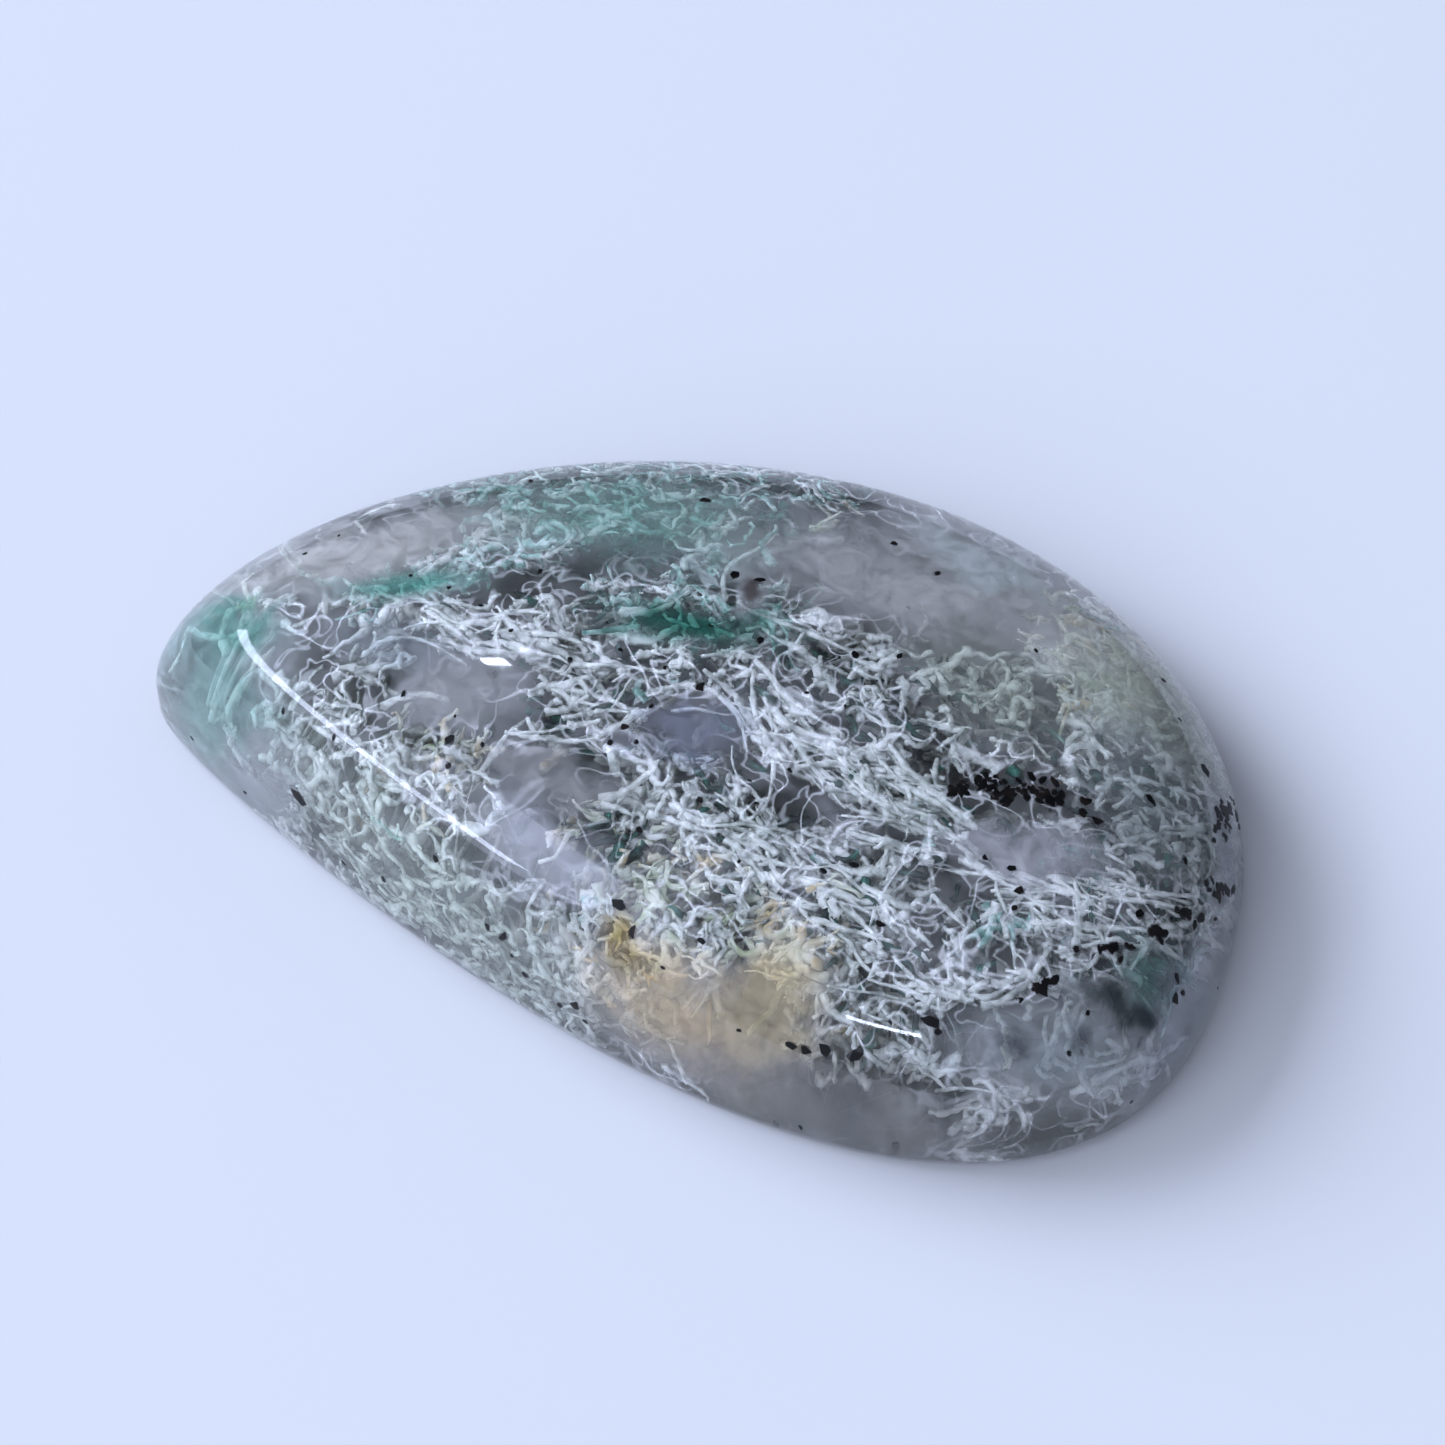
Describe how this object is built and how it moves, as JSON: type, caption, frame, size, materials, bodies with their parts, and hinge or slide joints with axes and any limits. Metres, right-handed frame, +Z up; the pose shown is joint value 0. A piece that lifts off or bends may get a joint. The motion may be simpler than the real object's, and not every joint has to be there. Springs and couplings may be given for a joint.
{
  "type": "moss agate cabochon",
  "caption": "Polished free-form pear-shaped agate cabochon with a flat base, a rounded shoulder and a gently domed top.",
  "frame": {"origin": "centre of the stone's outline box, on the plane of its flat base", "axes": "+X along the length from the blunt tip towards the round end, +Z up from the flat base towards the dome"},
  "size_m": [0.03, 0.0198, 0.0062],
  "materials": {
    "chalcedony": "high polish, cloudy and partly see-through",
    "pale_moss": "matt threads inside the stone",
    "green_moss": "matt threads inside the stone",
    "iron_stain": "matt threads inside the stone",
    "manganese_oxide": "matt specks inside the stone"
  },
  "bodies": {
    "root": {"moss_agate": "chalcedony"}
  },
  "joints": []
}
